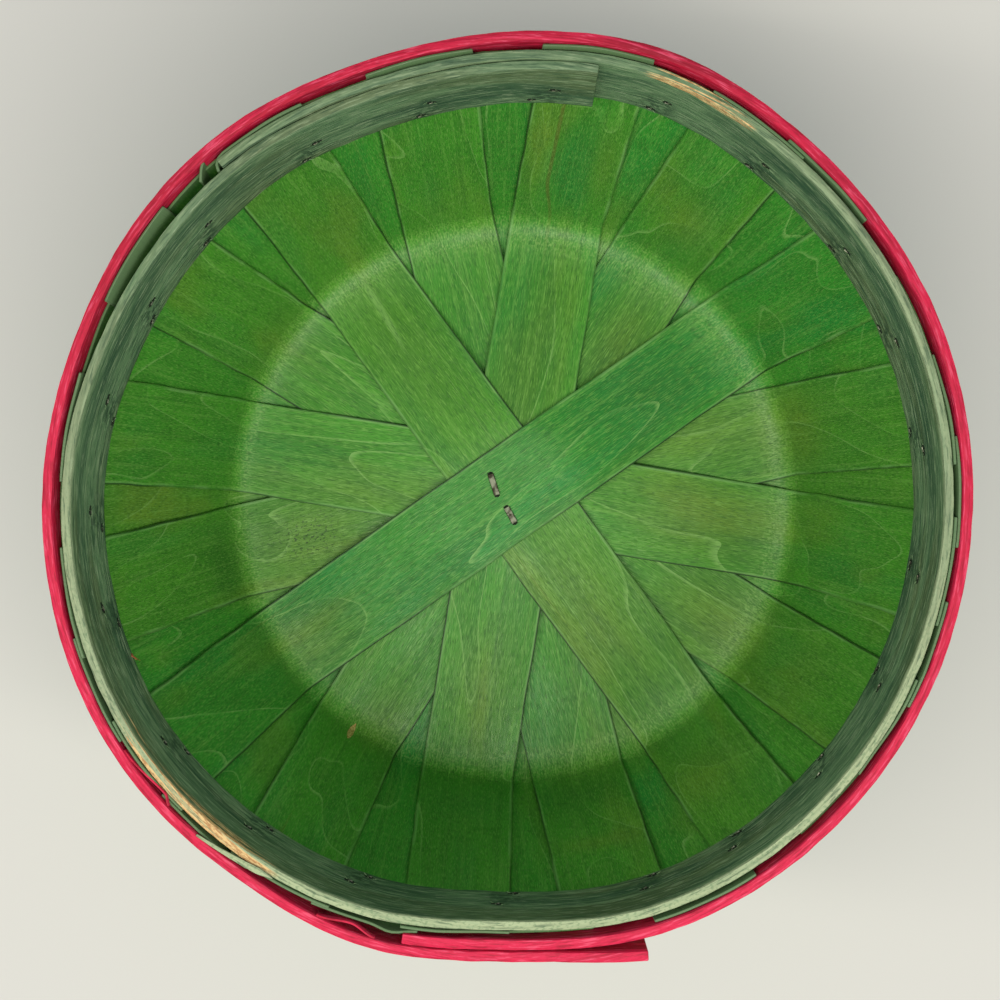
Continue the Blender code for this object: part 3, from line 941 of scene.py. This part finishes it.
# %% A thin strip that has come away
def make_splinter(name, size, cells, thickness, place_point, material, slot):
    """A small strip of a size and so many cells along and across, pressed and thickened."""
    strip = cut_strip(name, *size, *cells, shift=0.1 * len(name))
    press(strip, place_point)
    thicken(strip, thickness, thickness / 5)
    dress(strip, material, slot)
    return strip


# %% The peeled sliver
SLIVER_ROOT = 211.6
SLIVER_TIP = 222.6
SLIVER_WIDTH = 0.0024
SLIVER_THICKNESS = 0.0006
SLIVER_ARCH = 0.0006
SLIVER_OVER_RIM = 0.0005


def make_sliver():
    root_depth = inner_hoop_depth(SLIVER_ROOT + 360) - INNER_HOOP_THICKNESS / 2
    tip_depth = outer_hoop_depth(SLIVER_TIP) + OUTER_HOOP_THICKNESS / 2
    root = hoop_point(root_depth, SLIVER_ROOT, 0.0).xy.length
    tip = hoop_point(tip_depth, SLIVER_TIP, 0.0).xy.length
    length = math.hypot(math.radians(SLIVER_TIP - SLIVER_ROOT) * RIM_RADIUS, tip - root)

    def place_point(along, across):
        part = max(along / length + 0.5, 0.0)
        azimuth = SLIVER_ROOT + (SLIVER_TIP - SLIVER_ROOT) * part
        radius = root + (tip - root) * part**1.3
        level = direction(azimuth) * (radius + across * min(0.1 + 5 * part, 1.0) * (1 - 0.65 * part))
        return Vector((*level, HEIGHT + SLIVER_OVER_RIM + SLIVER_ARCH * math.sin(math.pi * part)))

    size = (length, SLIVER_WIDTH)
    return make_splinter(
        "green_sliver", size, (26, 2), SLIVER_THICKNESS, place_point, green_hoop_wood, "green_hoop"
    )


sliver = make_sliver()
paint(sliver, "worn", lambda point: 1.0)
print("the sliver's length, mm:", round(max(sliver.dimensions) * 1000, 1))

# %% The red strands
RED_STRANDS = ((227.6, 236.5, 0.16, 0.0018), (196.8, 204.6, 0.42, 0.0021))
STRAND_WIDTH = 0.0022
STRAND_THICKNESS = 0.0007
STRAND_BELOW_RIM = 0.0003


def make_red_strand(name, start, end, peak, bulge):
    """A strand along the red hoop's top edge. It stands off by bulge at peak, a share of its length."""
    length = math.radians(end - start) * RIM_RADIUS

    def place_point(along, across):
        part = along / length + 0.5
        azimuth = start + (end - start) * part
        sprung = bulge * smooth_step(0.0, peak, part) * smooth_step(1.0, peak, part)
        depth = outer_hoop_depth(azimuth) + OUTER_HOOP_THICKNESS / 2 + 0.3 * STRAND_THICKNESS + sprung
        return hoop_point(depth, azimuth, across + STRAND_WIDTH / 2 + STRAND_BELOW_RIM)

    size = (length, STRAND_WIDTH)
    return make_splinter(name, size, (30, 2), STRAND_THICKNESS, place_point, red_hoop_wood, "red_hoop")


red_strands = [make_red_strand(f"red_strand_{i}", *strand) for i, strand in enumerate(RED_STRANDS, start=1)]
print("the strands' lengths, mm:", [round(max(strand.dimensions) * 1000, 1) for strand in red_strands])

# %% The curled scrap of stave
SCRAP_AZIMUTHS = (317.6, 315.6)
SCRAP_RADII = (0.1462, 0.1421)
SCRAP_SIZE = (0.020, 0.0062)


def scrap_point(along, across):
    """The scrap stands upright. It turns inwards from the staves, most at its top."""
    part = max(across / SCRAP_SIZE[1] + 0.5, 0.0)
    height = HEIGHT - 0.0012 - SCRAP_SIZE[0] / 2 + along
    opened = smooth_step(HEIGHT - 0.030, HEIGHT - 0.004, height)
    azimuth = SCRAP_AZIMUTHS[0] + (SCRAP_AZIMUTHS[1] - SCRAP_AZIMUTHS[0]) * part
    radius = SCRAP_RADII[0] + (SCRAP_RADII[1] - SCRAP_RADII[0]) * part**1.3 * opened
    radius -= (HEIGHT - height) * math.tan(LEAN)
    return Vector((*(direction(azimuth) * radius), height))


scrap = make_splinter("curled_scrap", SCRAP_SIZE, (12, 6), VENEER, scrap_point, green_veneer, "green_veneer")
paint(scrap, "weathered", lambda point: 1.0)
print("the scrap's height, mm:", round(scrap.dimensions.z * 1000, 1))

# %% The chip at a stave's foot
CHIP_STAVE = 5
CHIP_PLACE = Vector((-0.1190, -0.0016))
CHIP_SIZE = (0.017, 0.0024)
CHIP_THICKNESS = 0.0002


def chip_point(along, across):
    """A pointed chip, a tenth of a millimetre proud of the stave's face."""
    azimuth, offset, *_ = INNER_STAVES[CHIP_STAVE - 1]
    part = 2 * along / CHIP_SIZE[0]
    half_width = max(1 - abs(part) ** 2.4, 0.04) * (1 + 0.4 * chance_at(part * 3, 1.0, 2.0))
    layer = len(OUTER_STAVES) + len(INNER_STAVES) - CHIP_STAVE
    place = (CHIP_PLACE.x + along, CHIP_PLACE.y + across * half_width)
    return stave_point(azimuth, offset / 1000, layer, *place, VENEER / 2 + FACE_RIPPLE / 2)


chip = make_splinter("bare_chip", CHIP_SIZE, (16, 3), CHIP_THICKNESS, chip_point, bare_tan, "green_veneer")
print("the chip's length, mm:", round(max(chip.dimensions) * 1000, 1))

# %% [markdown]
# ## Staples
# Each rim staple is driven in from outside, and its two points come out through the inner hoop, where they
# are bent over. Each point has torn a little hole, shown as a dark, ragged disc of painted shade, with a few
# fibres standing up round it. One such point is modelled where it's easiest, flat at the origin: X runs
# clockwise round the hoop, Y up the wall and Z inwards. It's then copied to every place. The place is found
# by sending a ray from the basket's middle to the hoop's face, which gives the true surface even where the
# strip laps and waves.

# %% Parts of a torn hole
HOLE_HALF = (0.0021, 0.00105, 0.00024)
RAGGEDNESS = 0.35
RAGS_A_METRE = 1500
FIBRE_RADIUS = 0.00016
WIRE_POINT_RADIUS = 0.00032
TORN_FIBRES = (
    (-0.0013, 0.0005, 165.0, 20.0, 0.0019),
    (0.0012, -0.0005, -12.0, 28.0, 0.0016),
    (0.0002, 0.0007, 60.0, 32.0, 0.0012),
)


def add_hole():
    """The painted shade of the hole: a dark ball flattened to a ragged disc."""
    hole = add_alone(
        bpy.ops.mesh.primitive_uv_sphere_add, bpy.ops.transform.resize, HOLE_HALF,
        segments=12, ring_count=6, radius=1.0,
    )
    for vertex in hole.data.vertices:
        ragged = 1 + RAGGEDNESS * noise.noise(vertex.co * RAGS_A_METRE)
        vertex.co.x *= ragged
        vertex.co.y *= ragged
    hole.data.materials.append(painted_hole_shade)
    return hole


def add_fibre(along, across, turn, rise, length, radius=FIBRE_RADIUS, material=torn_green):
    """A thin cone from a place on the face, turned round Z and risen from the face by degrees."""
    fibre = add_alone(
        bpy.ops.mesh.primitive_cone_add, bpy.ops.transform.translate, (0.0, 0.0, 0.45 * length),
        vertices=5, radius1=radius, radius2=radius / 5, depth=length,
    )
    lay = Matrix.Rotation(math.radians(turn), 4, "Z") @ Matrix.Rotation(math.radians(90 - rise), 4, "Y")
    fibre.data.transform(Matrix.Translation((along, across, 0.0)) @ lay)
    fibre.data.materials.append(material)
    return fibre


def add_wire_point():
    """The bent-over end of the wire, lying along the hoop with its tip dipping into the wood."""
    point = add_fibre(-0.0006, 0.0, 0.0, -4.0, 0.0014, WIRE_POINT_RADIUS, staple_wire)
    point.data.transform(Matrix.Translation((0.0, 0.0, 0.00030)))
    return point


def join_parts(parts, name):
    """Several parts made one piece."""
    bpy.ops.object.select_all(action="DESELECT")
    for part in parts:
        part.select_set(True)
    bpy.context.view_layer.objects.active = parts[0]
    bpy.ops.object.join()
    joined = bpy.context.object
    joined.name = name
    return joined


def add_fibres(fibres, *finish):
    """Several fibres of one radius and material."""
    return [add_fibre(*fibre, *finish) for fibre in fibres]


torn_hole = join_parts([add_hole(), *add_fibres(TORN_FIBRES)], "torn_hole")
staple_point = join_parts([add_hole(), add_wire_point(), *add_fibres(TORN_FIBRES)], "staple_point")
print("faces in a staple point:", len(staple_point.data.polygons))

# %% Copy a part to a place on a face
UP = Vector((0.0, 0.0, 1.0))


def face_frame(piece, start, way, up):
    """The frame where a ray meets a piece: Z off its face, and Y as near to up as the face lets it be."""
    met, place, normal, _ = piece.ray_cast(start, way)
    assert met, piece.name
    y = (up - normal * up.dot(normal)).normalized()
    return Matrix.Translation(place) @ Matrix((y.cross(normal), y, normal)).transposed().to_4x4()


def copy_to(model, name, frame_there, turn, size):
    """A copy of the model with its own mesh, turned by degrees and resized in its own frame."""
    copied = model.copy()
    copied.data = model.data.copy()
    copied.name = name
    bpy.context.scene.collection.objects.link(copied)
    spin = Matrix.Rotation(math.radians(turn), 4, "Z")
    copied.data.transform(frame_there @ spin @ Matrix.Diagonal((size, size, 1.0, 1.0)))
    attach(copied, "root")
    return copied


bpy.context.view_layer.update()
met_at = face_frame(inner_hoop, UP * BRUISE_HEIGHT, direction(0.0).to_3d(), UP).translation
print("the inner hoop's inside at azimuth 0, mm from the axis:", round(met_at.y * 1000, 1))

# %% Place the rim staples' points
POINT_HEIGHTS = {"low": (0.1446, -1.0), "high": (0.1536, 1.2)}
POINT_SCATTER = (1.2, 0.0010)
POINT_TURN = 25
POINT_SIZE_CHANGE = 0.3
SCATTER_SEED = 5


def place_staple_points():
    """Both points of every staple, scattered alike every time, as noise_vector() needs a seed for."""
    noise.seed_set(SCATTER_SEED)
    made = []
    for number, azimuth in enumerate(RIM_STAPLE_AZIMUTHS, start=1):
        for row, (height, further) in POINT_HEIGHTS.items():
            chance = noise.noise_vector(Vector((azimuth * 0.37, height * 300, 5.0)))
            there = direction(azimuth + further + POINT_SCATTER[0] * chance.x).to_3d()
            start = Vector((0.0, 0.0, height + POINT_SCATTER[1] * chance.y))
            frame_there = face_frame(inner_hoop, start, there, UP)
            turn, size = POINT_TURN * chance.z, 1 + POINT_SIZE_CHANGE * chance.x
            name = f"staple_point_{number:02d}_{row}"
            made.append(copy_to(staple_point, name, frame_there, turn, size))
    return made


staple_points = place_staple_points()
print("staple points:", len(staple_points))

# %% The torn holes of the floor staples
FLOOR_STAPLES = ((Vector((-0.0050, 0.0047)), 162.2, 0.0086), (Vector((0.0015, -0.0071)), 151.3, 0.0068))
FLOOR_HOLE_SIZE = 0.5


def place_floor_holes():
    """A torn hole at each end of the two floor staples."""
    made = []
    for number, (middle, azimuth, length) in enumerate(FLOOR_STAPLES, start=1):
        for end, side in (("head", 1), ("foot", -1)):
            level = middle + direction(azimuth) * side * (length / 2 + 0.0003)
            start = Vector((level.x, level.y, HEIGHT / 2))
            frame_there = face_frame(inner_web[0], start, -UP, direction(azimuth + 90).to_3d())
            name = f"floor_hole_{number}_{end}"
            # Each copy carries the torn hole's dark disc of painted shade.
            made.append(copy_to(torn_hole, name, frame_there, 90, FLOOR_HOLE_SIZE))
    return made


floor_holes = place_floor_holes()
print("holes in the floor:", len(floor_holes))

# %% The brown splinter on the inner hoop
SPLINTER_AZIMUTH = 247.0
SPLINTER_HEIGHT = 0.1432
SPLINTER_FIBRES = ((0.0, 0.0, 180.0, 42.0, 0.0036), (0.0005, -0.0004, 168.0, 24.0, 0.0030))
SPLINTER_RADIUS = 0.00034

splinter_model = join_parts(add_fibres(SPLINTER_FIBRES, SPLINTER_RADIUS, bare_brown), "splinter_model")
splinter_frame = face_frame(inner_hoop, UP * SPLINTER_HEIGHT, direction(SPLINTER_AZIMUTH).to_3d(), UP)
brown_splinter = copy_to(splinter_model, "brown_splinter", splinter_frame, 0, 1.0)
for model in (torn_hole, staple_point, splinter_model):
    bpy.data.objects.remove(model)
print("the splinter's length, mm:", round(max(brown_splinter.dimensions) * 1000, 1))

# %% [markdown]
# The crowns themselves, outside on the red hoop and in the middle of the floor, are already the right size
# and shape for flat wire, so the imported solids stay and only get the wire's finish.

# %% Give the crowns their finish
crowns = 0
for name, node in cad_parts.items():
    if "staple" in name:
        node.data.materials.clear()
        node.data.materials.append(staple_wire)
        crowns += 1
print("crowns:", crowns)

# %% [markdown]
# ## Floor, light and camera
# The basket stands on a plain pale floor. The main light is a long, soft strip above the -Y side, so the
# far wall is bright, the side walls are lit from across and the near wall falls into shade. The camera
# looks straight down, 770 mm above the rim.

# %% The floor
FLOOR_SIZE = 8.0
FLOOR_GAP = 0.0002
FLOOR_TONE = tone(214, 214, 212)
bpy.ops.object.select_all(action="DESELECT")
bpy.ops.mesh.primitive_plane_add(size=FLOOR_SIZE, location=(0.0, 0.0, -FLOOR_GAP))
floor = bpy.context.object
floor.name = "studio_floor"
floor_paint, floor_shader = new_material("pale floor", 0.8)
floor_shader.inputs["Base Color"].default_value = FLOOR_TONE
floor.data.materials.append(floor_paint)
print("the floor lies at, mm:", -FLOOR_GAP * 1000)

# %% The light
WORLD_COLOUR = (0.9, 0.95, 1.0, 1.0)
WORLD_STRENGTH = 0.34


def add_light(name, place, aim, width, depth, watts, colour):
    """An area light at a place, aimed at a point. Its width runs along X."""
    lamp = bpy.data.lights.new(name, "AREA")
    lamp.shape = "RECTANGLE"
    lamp.size = width
    lamp.size_y = depth
    lamp.energy = watts
    lamp.color = colour
    stand = bpy.data.objects.new(name, lamp)
    stand.location = place
    stand.rotation_euler = (Vector(aim) - Vector(place)).to_track_quat("-Z", "Y").to_euler()
    bpy.context.scene.collection.objects.link(stand)


add_light("key light", (-0.08, -0.36, 1.50), (0.0, 0.0, 0.1), 3.3, 0.22, 27.8, (1.0, 0.95, 0.82))
add_light("window light", (0.0, -1.30, 1.50), (0.0, 0.1, 0.1), 1.2, 0.8, 4.5, (1.0, 0.97, 0.90))
world = bpy.data.worlds.new("studio")
world.use_nodes = True
background = world.node_tree.nodes["Background"]
background.inputs["Color"].default_value = WORLD_COLOUR
background.inputs["Strength"].default_value = WORLD_STRENGTH
bpy.context.scene.world = world
bpy.context.scene.view_settings.view_transform = "Standard"
bpy.context.scene.view_settings.gamma = 1.1
print("lights:", len(bpy.data.lights))

# %% The camera
CAMERA_PLACE = Vector((-0.00258, -0.00129, 0.940))
FOCAL_LENGTH = 86.04
SENSOR_WIDTH = 36.0
camera = bpy.data.cameras.new("camera")
camera.lens = FOCAL_LENGTH
camera.sensor_width = SENSOR_WIDTH
camera.clip_start = 0.05
camera_stand = bpy.data.objects.new("camera", camera)
camera_stand.location = CAMERA_PLACE
bpy.context.scene.collection.objects.link(camera_stand)
bpy.context.scene.camera = camera_stand
print("the camera is above the rim by, m:", round(CAMERA_PLACE.z - HEIGHT, 3))
